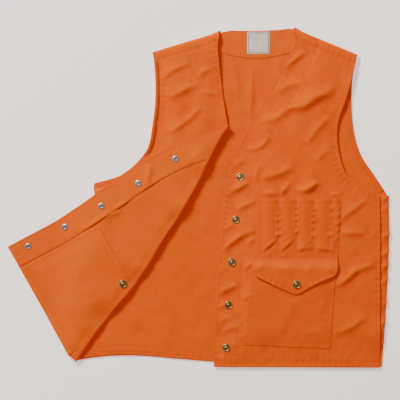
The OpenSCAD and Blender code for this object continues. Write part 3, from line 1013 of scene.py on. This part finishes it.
def seat(height, p, reach=4.0):
    """A surface's height and its upward direction at a point in plan."""
    x, y = p[0] + reach * np.array([-1, 1, 0, 0, 0]), p[1] + reach * np.array([0, 0, -1, 1, 0])
    z = height(x, y)
    return z[4], unit(np.array([(z[0] - z[1]) / (2 * reach), (z[2] - z[3]) / (2 * reach), 1.0]))


# ---------------------------------------------------------------- the panels and their rolled edges
def wrap_between(front, front_z, place, back):
    """The cloth that turns from a front's edge round to the back's."""
    return grid(wrap_rows(
        lifted(front, front_z, place), lifted(back, back_z, splayed), outward(front), 8, 8, 10))


TUCK = np.array([3.0, 0, 4.0])  # how far the strip's upper edge goes in and down under the front
TUCK_LOWEST = 1.9  # and how low it may come


def side_surface():
    """The cloth beside the left seam, tucked under the front and bulging out from it."""
    out = outward(left_seam)
    tucked = lifted(left_seam, left_z, hung) - TUCK
    tucked[:, 2] = np.maximum(tucked[:, 2], TUCK_LOWEST)
    narrow = left_back[:, 0] - splayed(left_back)[:, 0]
    reach = (25 - narrow) * (0.5 + 0.5 * smoothstep((seam_top[1] - left_seam[:, 1]) / 40))
    rows = wrap_rows(tucked, lifted(left_back, back_z, splayed), out, reach, 8, 18, crown=1.6)
    return grid(side_folds(rows, out))


SIDE_FOLDS = (18, -8, -25, -78, -112, -137, -166, -212, -246, -285)  # where puckers cross the strip


def side_folds(rows, out):
    """Slanting puckers down the strip beside the left seam."""
    across = np.linspace(0, 1, rows.shape[1])[None, :]
    slant = rows[:, :, 1] - 17 * across
    r = np.random.default_rng(61)
    push = sum(r.uniform(2.4, 4.0) * np.exp(-np.abs((slant - y) / r.uniform(4, 6)) ** 1.5)
               for y in SIDE_FOLDS)
    push = push * np.sin(math.pi * np.clip(across * 1.1, 0, 1)) ** FADE
    rows[:, :, 2] += push * (1 - 0.5 * across)
    rows[:, :, :2] += (0.5 * push * across)[:, :, None] * out
    return rows


def roll_surface():
    """The soft roll where the right front turns back over itself."""
    line = np.concatenate([fold_tail, fold_run])
    s = down_fold(*line.T)
    r = np.random.default_rng(71)
    bulge = 4.2 + 0.5 * np.sin(s / 31 + r.uniform(0, 6)) + 0.35 * np.sin(s / 13.7 + r.uniform(0, 6))
    t = np.linspace(0, 1, 13)
    rows = []
    for p, z0, z1, b in zip(bowed(line), chest_z(*line.T), leaf_z(*line.T), bulge):
        push = 4 * b * t * (1 - t)
        z = z0 + (z1 - z0) * smoothstep(t)
        rows.append(np.column_stack([p[0] - push * fold_out[0], p[1] - push * fold_out[1], z]))
    return grid(np.array(rows))


def build_panels():
    """The back, the fronts and the cloth that turns from one to the other."""
    back = patch(back_loop, back_z, step=4.4, place=splayed, seed=2)
    chest = patch(chest_loop, chest_z, place=bowed, seed=3)
    left = patch(left_loop, left_z, place=hung, seed=4)
    leaf = patch(leaf_loop, leaf_z, place=bowed, seed=5)
    left_side, roll = side_surface(), roll_surface()
    left_shoulder = wrap_between(left_top, left_z, None, left_top_back)
    right_shoulder = wrap_between(right_top, chest_z, bowed, right_top_back)
    right_fold_side = wrap_between(right_side, chest_z, bowed, right_back)
    join(back, chest, left, leaf, left_side, left_shoulder, right_shoulder, right_fold_side, roll)

    for name, s, height, colour, nodes, body, held, below in (
            ("back", back, back_z, orange, ["back_panel"], "vest_back",
             "laid", ["floor"]),
            ("right_chest", chest, chest_z, orange, ["right_chest_panel"], "vest_back",
             "laid", ["back_cloth"]),
            ("left_front", left, left_z, orange, ["left_front_panel", "left_side_front"], bend_left,
             "laid", ["back_cloth"]),
            ("right_front", leaf, leaf_z, inner_orange, ["right_front_panel"], "right_front",
             "folded", ["right_chest_cloth", "floor"])):
        obj = cloth(name, s, CANVAS, colour, nodes, held, below)
        mark_crests(obj, s, height)
        attach(obj, body)
    # Each piece's crest value over one half paints it paler all over, a painted highlight, most on the roll.
    for name, s, colour, crest, body, below in (
            ("left_side_wrap", left_side, orange, 0.55, bend_left, "back_cloth"),
            ("left_shoulder_wrap", left_shoulder, orange, 0.6, "vest_back", "back_cloth"),
            ("right_shoulder_wrap", right_shoulder, orange, 0.6, "vest_back", "back_cloth"),
            ("right_side_wrap", right_fold_side, orange, 0.6, "vest_back", "back_cloth"),
            ("right_front_roll", roll, inner_orange, 0.68, bend_fold, "right_chest_cloth")):
        obj = cloth(name, s, CANVAS, colour, [name], "folded", [below])
        put_crest(obj, crest)
        attach(obj, body)


# ---------------------------------------------------------------- facings, bands, pockets, label
def overlay(name, height, thick, material, body, below, place=None, step=STEP, seed=9, loop=None):
    """A flat piece sewn to a panel: its outline from its CAD node, its height from a function."""
    loop = smooth_loop(cad_loop(name), step) if loop is None else loop
    s = patch(loop, height, step=step, place=place, seed=seed)
    obj = cloth(name, s, thick, material, [name], "laid", [below])
    mark_crests(obj, s, height)
    attach(obj, body)


def above(height, lift):
    return lambda x, y: height(x, y) + lift


FACING = 45.0  # width of the turned-back front's facing
facing_inner = offset_run(leaf_front, FACING)
facing_inner = facing_inner[inside(*facing_inner.T, leaf_loop) & (from_fold(*facing_inner.T) > 1)]


def facing_loop():
    """The turned-back front's facing, from its fold down to its hem."""
    steps = np.linspace(0, 1, 14)[1:-1, None]
    outer, inner = leaf_front[1:], facing_inner[::-1]
    foot = outer[-1] + (inner[0] - outer[-1]) * steps
    head = inner[-1] + (outer[0] - inner[-1]) * steps
    return np.concatenate([outer, foot, inner, head])


def facing_z(x, y):
    """The facing's inner edge stands off the cloth a little in places."""
    edge, place = segment_distance(x, y, facing_inner)
    wave = 0.5 + 0.5 * np.sin(place / 13.0 + 1.2 * np.sin(place / 31.0))
    lift = 2.3 * wave * bell(edge, 7) * sheer(place, 60, 150) * (1 - sheer(place, 250, 300))
    return leaf_z(x, y) + 0.35 + 0.65 * smoothstep((from_fold(x, y) - 1) / 12) + lift


def tucked_under(xy):
    """Draws the neck facing's end under the left front's edge."""
    return splayed(xy + np.column_stack([11 * sheer(xy[:, 0], neck_l[0] - 28, neck_l[0] - 8), 0 * xy[:, 1]]))


def build_facings():
    """Facings and hem bands, inside up on the back and the turned-back front."""
    overlay("back_neck_facing", above(back_z, 1.05), CANVAS, inner_orange, "vest_back",
            "back_cloth", tucked_under, seed=12)
    for name in ("back_hem_band", "back_armhole_band_left", "back_armhole_band_right"):
        overlay(name, above(back_z, CANVAS), FINE_CANVAS, lining, "vest_back",
                "back_cloth", splayed)
    for name, height, material, body, place in (
            ("right_armhole_facing", chest_z, lining, "vest_back", bowed),
            ("left_armhole_facing", left_z, lining, bend_left, None),
            ("left_front_facing", left_z, inner_orange, "left_front", hung),
            ("left_hem_band", left_z, lining, "left_front", hung)):
        overlay(name, above(height, -CANVAS), FINE_CANVAS, material, body,
                "back_cloth", place)
    for name, height, seed, loop in (
            ("right_front_facing", facing_z, 13, facing_loop()),
            ("right_hem_band", above(leaf_z, CANVAS), 14, None)):
        overlay(name, height, 0.95, inner_orange, "right_front", "right_front_cloth",
                bowed, seed=seed, loop=loop)


label_lo, label_hi = node_mm("neck_label")


def label_z(x, y):
    """The label lies over the neck facing, its edges sewn down."""
    edge = np.minimum.reduce([x - label_lo[0], label_hi[0] - x, y - label_lo[1], label_hi[1] - y])
    return back_z(x, y) + 1.95 + 0.35 * smoothstep(edge / 9)


def build_label():
    """A plain woven label with a darker woven border, nothing on it."""
    overlay("neck_label", label_z, 0.5, label_cloth, "vest_back", "back_neck_facing_cloth",
            step=2.2, seed=15)
    (x0, y0), (x1, y1) = label_lo[:2], label_hi[:2]
    outline = np.array([(x0, y0), (x1, y0), (x1, y1), (x0, y1)])
    mid = outline.mean(0)
    rings = [evenly(closed(mid + (outline - mid) * scale), 85) for scale in (0.93, 0.86)]
    rows = [lifted(ring, above(label_z, 0.42)) for ring in rings]
    obj = shell("neck_label_border", grid(np.array(rows)), 0.3, label_edge)
    put_crest(obj, 0.5)
    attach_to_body(obj, "vest_back")


BED = 9.0  # the middle height of the left front under its pocket and loops
pocket_loop = smooth_loop(cad_loop("chest_pocket"))
pocket_edge = closed(pocket_loop)
pocket_lo, pocket_hi = node_mm("chest_pocket")
pocket_sewn = closed(pocket_loop[pocket_loop[:, 1] < pocket_hi[1] - 2])
POCKET_FOLDS = (
    (12, 0.9, ((150, -275), (172, -235), (180, -195))),
    (9, 0.8, ((240, -196), (252, -214), (256, -236))),
    (10, 0.6, ((200, -262), (222, -262), (248, -256))),
)
pocket_seams = grooves((0.3, 0.15, 12, pocket_edge, 3), (0.3, 0.12, 14, pocket_edge, 9))
pocket_rumple = rumple(51, 0.28, 0.08, 0.03)


def pocket_z(x, y):
    """The chest pocket, sewn at its sides and foot and standing proud at its mouth."""
    mouth = sheer(y, pocket_lo[1] + 20, pocket_hi[1])
    side = away_from(x, y, pocket_sewn)
    swell = smoothstep(side / 38)
    lift = 1.15 + swell * (0.25 + 2.95 * mouth)
    own = swell * (pocket_rumple(x, y) + folds(POCKET_FOLDS, x, y))
    below = left_z(*leaned(np.column_stack([x, y])).T)
    base = BED + (below - BED) * (0.5 + 0.5 * near_by(side - 6, 30))
    return base + lift + own + seams(pocket_seams, x, y)


flap_lo, flap_hi = node_mm("pocket_flap")
flap_top = flap_hi[1]
flap_loop = smooth_loop(cad_loop("pocket_flap"), 2.8, math.radians(85), 6.0)
flap_low = run_between(flap_loop, (flap_lo[0], flap_top - 30), (flap_hi[0], flap_top - 30))
FLAP_FOLDS = (
    (7, 0.9, ((118, -120), (124, -132), (122, -146))),
    (8, 0.9, ((160, -118), (168, -136), (182, -150))),
    (7, 0.8, ((222, -120), (218, -134), (206, -148))),
    (6, 0.9, ((262, -119), (258, -130), (262, -146))),
)
flap_seams = grooves((0.35, 0.30, 12, flap_low, 4), (0.3, 0.2, 14, flap_low, 9))
FLAP_LIFT, FLAP_RISE = 1.2, 5.6  # the flap's height over the cloth at its seam, and its rise from there


def flap_z(x, y):
    """The pocket flap: flat at its seam, rising over the pocket's mouth, its point held by the snap."""
    rise = smoothstep((flap_top - y) / 26) * (0.75 + 0.25 * sheer(x, flap_lo[0], flap_lo[0] + 18))
    curl = 0.8 * near_by(away_from(x, y, flap_low), 14) * np.sin(x / 17.0)
    over = BED + 0.45 * left_rumple(x, y) + FLAP_LIFT + rise * (FLAP_RISE + curl)
    return over + rise * folds(FLAP_FOLDS, x, y) + seams(flap_seams, x, y)


def flap_hang(xy):
    """The flap lies a little shorter in plan than it is, since it rises over the pocket."""
    return leaned(np.column_stack([xy[:, 0], flap_top - 0.965 * (flap_top - xy[:, 1])]))


inner_loop = smooth_loop(cad_loop("inside_pocket"))
inner_high, inner_top = (inner_loop[np.argmax(inner_loop[:, k])] for k in (0, 1))
inner_sewn = run_between(inner_loop, inner_top, inner_high)
inner_mouth = run_between(inner_loop, inner_high, inner_top)
inner_stitched = inner_sewn[:int(np.argmax(from_fold(*inner_sewn.T) < 24))]
inner_edge = float(from_fold(*inner_sewn.T).min())
inner_seams = grooves((0.3, 0.15, 12, inner_stitched, 3), (0.4, 0.2, 13, inner_mouth, 9))
INNER_FOLDS = (
    (14, 0.35, ((-170, -110), (-190, -150), (-196, -190))),
    (13, 0.30, ((-235, -120), (-240, -160), (-228, -196))),
)


def inner_z(x, y):
    """The pocket bag inside the turned-back front, its mouth standing a little open."""
    away = from_fold(x, y) - inner_edge
    swell = smoothstep(away_from(x, y, inner_stitched) / 24) * smoothstep(away / 90)
    own = swell * (0.5 * pocket_rumple(x + 40, y) + folds(INNER_FOLDS, x, y))
    mouth = 1.3 * near_by(away_from(x, y, inner_mouth), 22) * smoothstep(away / 30)
    lift = 0.15 + 0.95 * smoothstep(away / 16) + 1.6 * swell + mouth
    return leaf_z(x, y) + lift + own + seams(inner_seams, x, y)


def build_pockets():
    """The chest pocket with its flap, and the pocket inside the turned-back front."""
    overlay("chest_pocket", pocket_z, CANVAS, pocket_orange, "left_front",
            "left_front_cloth", leaned, step=3.0, seed=16)
    overlay("pocket_flap", flap_z, 1.1, orange, "pocket_flap",
            "chest_pocket_cloth", flap_hang, step=2.8, seed=17, loop=flap_loop)
    overlay("inside_pocket", inner_z, CANVAS, inner_orange, "right_front",
            "right_front_cloth", bowed, seed=18)


loops_lo, loops_hi = node_mm("shell_loops")
LOOP_PITCH = 34.5  # spacing of the stitch lines between the loops
LOOP_PINCH = (1.7, 1.3, 0.6, 0.2, 0.1)  # how high each loop's fullness is pinched up near its foot
loop_foot = flap_top - 1
loop_edge = loops_lo[0] - 5
loop_stitches = np.array([*(loops_lo[0] + 1.5 + LOOP_PITCH * np.arange(5)), loops_hi[0] - 1])


def loop_marks():
    """Small dents beside the stitch lines, and the folds where the loops' fullness is taken up."""
    r = np.random.default_rng(83)
    marks = [(4.5, 1.2, ((192, -101), (207, -96), (224, -95))),
             (4.5, 1.2, ((231, -97), (250, -98), (268, -102)))]
    for x in loop_stitches[1:]:
        y = loops_hi[1] - r.uniform(14, 20)
        while y > loop_foot + 34:
            length, lean = r.uniform(4, 8), r.uniform(-1, 4)
            points = (x - length, y - lean), (x, y), (x + length, y + lean)
            marks.append((3.4, r.uniform(0.5, 1.4), points))
            y -= r.uniform(9, 17)
    return marks


LOOP_MARKS = loop_marks()


def loop_z(x, y):
    """Shell loops: shallow tubes between stitch lines, pleated flat at their foot."""
    lift = np.zeros(np.shape(x))
    down = (loops_hi[1] - y) / (loops_hi[1] - loop_foot)
    waist = 1 - 0.25 * np.sin(math.pi * np.clip(down, 0, 1)) - 0.75 * sheer(down, 0.70, 1.0)
    r = np.random.default_rng(81)
    for a, b, pleat in zip(loop_stitches[:-1], loop_stitches[1:], LOOP_PINCH):
        u = np.clip((x - a) / (b - a), 0, 1)
        lean = 0.16 * sheer(down, 0.55, 1.0) * r.uniform(0.6, 1.4)
        v = np.clip(u + lean * np.sin(math.pi * u), 0, 1)
        tall = (3.3 if b - a > 25 else 2.2) * r.uniform(0.85, 1.1)
        past = down - 0.90 + 0.24 * u
        pinch = pleat * np.sin(math.pi * u) ** 1.3 * (bell(past, 0.04) - 0.8 * bell(past - 0.07, 0.03))
        lift = lift + tall * np.sin(math.pi * v) ** 0.95 * waist + pinch
    lift = lift + sheer(down, 0.0, 0.2) * folds(LOOP_MARKS, x, y)
    hem = 0.35 * bell(loops_hi[1] - y - 7.5, 1.6)
    own = 0.45 * left_rumple(x, y) + 0.16 * pocket_rumple(x * 1.7, y * 1.7)
    return BED + 1.15 + own + np.maximum(lift, 0) - hem


def build_loops():
    """One strip of canvas stitched down between the loops, open at the top."""
    stops = [loop_edge, *loop_stitches, loops_hi[0] + 1]
    parts = [np.linspace(a, b, max(3, int((b - a) / 1.4)), endpoint=False) for a, b in zip(stops, stops[1:])]
    x = np.concatenate(parts + [stops[-1:]])
    gy, gx = np.meshgrid(np.linspace(loop_foot, loops_hi[1], 46), x, indexing="ij")
    waver = 0.5 * np.sin(gx / 5.1) + 0.6 * np.sin(gx / 13.0)
    top = sheer(gy, loops_hi[1] - 14, loops_hi[1])
    plan = leaned(np.column_stack([gx.ravel(), (gy + waver * top).ravel()]))
    rows = np.column_stack([plan, loop_z(gx, gy).ravel()]).reshape(*gx.shape, 3)
    s = grid(rows.transpose(1, 0, 2))
    obj = cloth("shell_loops", s, CANVAS, pocket_orange, ["shell_loops"], "gathered",
                ["left_front_cloth"])
    mark_crests(obj, s, loop_z, reach=4.0)
    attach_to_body(obj, "left_front")


# ---------------------------------------------------------------- threads and metal
def build_stitching():
    """Rows of thread: each piece's runs with their distances in from an edge."""
    face, raised = CANVAS / 2 + 0.05, 1.5 * CANVAS  # on bare cloth, and on a facing over it
    columns = [(np.array([(x, loop_foot + 2), (x, loops_hi[1] - 2)]), 0) for x in loop_stitches]
    columns.append((np.array([(loop_edge + 1, loops_hi[1] - 7), (loops_hi[0] - 1, loops_hi[1] - 7)]), 0))
    for name, runs, height, lift, body, place in (
            ("left_front", [(left_edge, 3), (left_edge, 9), (left_edge[25:], 44), (left_hem, 9)],
             left_z, face, "left_front", hung),
            ("left_fold", [(left_arm, 3), (left_arm, 9), (left_top, 9), (left_top, 12)],
             left_z, face, bend_left, None),
            ("left_side", [(left_seam, 3), (left_seam, 7)], left_z, face, bend_left, hung),
            ("right_chest",
             [(chest_arm, 3), (chest_arm, 9), (chest_neck, 3), (right_top, 9), (right_top, 12)],
             chest_z, face, "vest_back", bowed),
            ("right_front",
             [(leaf_front[3:], 3), (leaf_front, 43.5), (leaf_hem[:-4], 2), (leaf_hem[:-4], 8.5)],
             leaf_z, raised, "right_front", bowed),
            ("inside_pocket", [(inner_stitched, 2), (inner_stitched, 8), (inner_mouth, 8)],
             inner_z, face, "right_front", bowed),
            ("back", [(back_arm_l, 8), (back_arm_r, 8), (back_hem, 8), (back_neck, 3)],
             back_z, raised, "vest_back", splayed),
            ("chest_pocket", [(pocket_edge, 2), (pocket_edge, 8)], pocket_z, face, "left_front", leaned),
            ("pocket_flap", [(flap_low, 2.5), (flap_low, 8)], flap_z, 0.6, "pocket_flap", flap_hang),
            ("shell_loop", columns, loop_z, face, "left_front", leaned)):
        stitches(name + "_stitching", runs, above(height, lift), body, place)


def build_snaps():
    """Five snaps down the front, one on the flap and one on the inside pocket."""
    def fit(name, kind, height, gap, body, flip=1):
        p = np.mean(node_mm(name), axis=0)[:2]
        z, normal = seat(height, p)
        plan = bowed(p[None])[0] if body == "right_front" else p
        turned(name, kind, np.append(plan, z) + flip * gap * normal, flip * normal, body)

    for i in SNAPS:
        fit(f"left_cap_{i}", CAPS, left_z, 0.45, "left_front")
        fit(f"left_socket_{i}", SOCKETS, left_z, 1.4, "left_front", flip=-1)
        fit(f"right_post_{i}", POSTS, leaf_z, 1.4, "right_front")
        fit(f"right_stud_{i}", STUDS, leaf_z, 0.45, "right_front", flip=-1)
    fit("flap_snap_cap", CAPS, flap_z, 0.5, "pocket_flap")
    fit("flap_snap_socket", SOCKETS, flap_z, 0.5, "pocket_flap", flip=-1)
    fit("pocket_snap_stud", STUDS, pocket_z, 0.45, "left_front")
    fit("pocket_snap_post", POSTS, pocket_z, 0.45, "left_front", flip=-1)
    fit("inside_snap_cap", CAPS, inner_z, 0.45, "right_front")
    fit("inside_snap_socket", SOCKETS, inner_z, 0.45, "right_front", flip=-1)
    fit("inside_snap_stud", STUDS, leaf_z, 0.45, "right_front")


# ---------------------------------------------------------------- stage, light and camera
def build_stage():
    """A plain pale floor, just under the vest."""
    bpy.ops.mesh.primitive_plane_add(size=8, location=(0, 0, -0.0003))
    floor = bpy.context.object
    floor.name = "floor"
    m, tree, bsdf = new_material("pale_floor")
    fill(tree, bsdf, {"Base Color": (0.93, 0.93, 0.93, 1), "Roughness": 0.9,
                      "Emission Color": (1, 1, 1, 1), "Emission Strength": 0.6})
    floor.data.materials.append(m)


def build_light():
    """A pinkish surround and one soft key light, high and to the left."""
    world = bpy.data.worlds.new("studio")
    world.use_nodes = True
    tree = world.node_tree
    fill(tree, tree.nodes["Background"], {"Color": (1, 0.66, 0.60, 1), "Strength": 0.42})
    bpy.context.scene.world = world
    light = bpy.data.lights.new("key", "AREA")
    light.shape, light.size, light.energy, light.color = "DISK", 1.2, 333, (1.0, 0.98, 0.90)
    obj = bpy.data.objects.new("key", light)
    obj.location = (-2.2, 3.05, 2.4)
    obj.rotation_euler = (-obj.location).to_track_quat("-Z", "Y").to_euler()
    bpy.context.scene.collection.objects.link(obj)


def build_camera():
    """Straight above the vest, its middle a little off the frame's origin."""
    camera = bpy.data.cameras.new("camera")
    camera.sensor_width, camera.lens = 36, 110.8
    camera.dof.use_dof = False
    obj = bpy.data.objects.new("camera", camera)
    obj.location = (0.0025, -0.0036, 2.4)
    bpy.context.scene.collection.objects.link(obj)
    bpy.context.scene.camera = obj


for build in (build_panels, build_facings, build_label, build_pockets, build_loops, build_stitching,
              build_snaps, build_stage, build_light, build_camera):
    build()
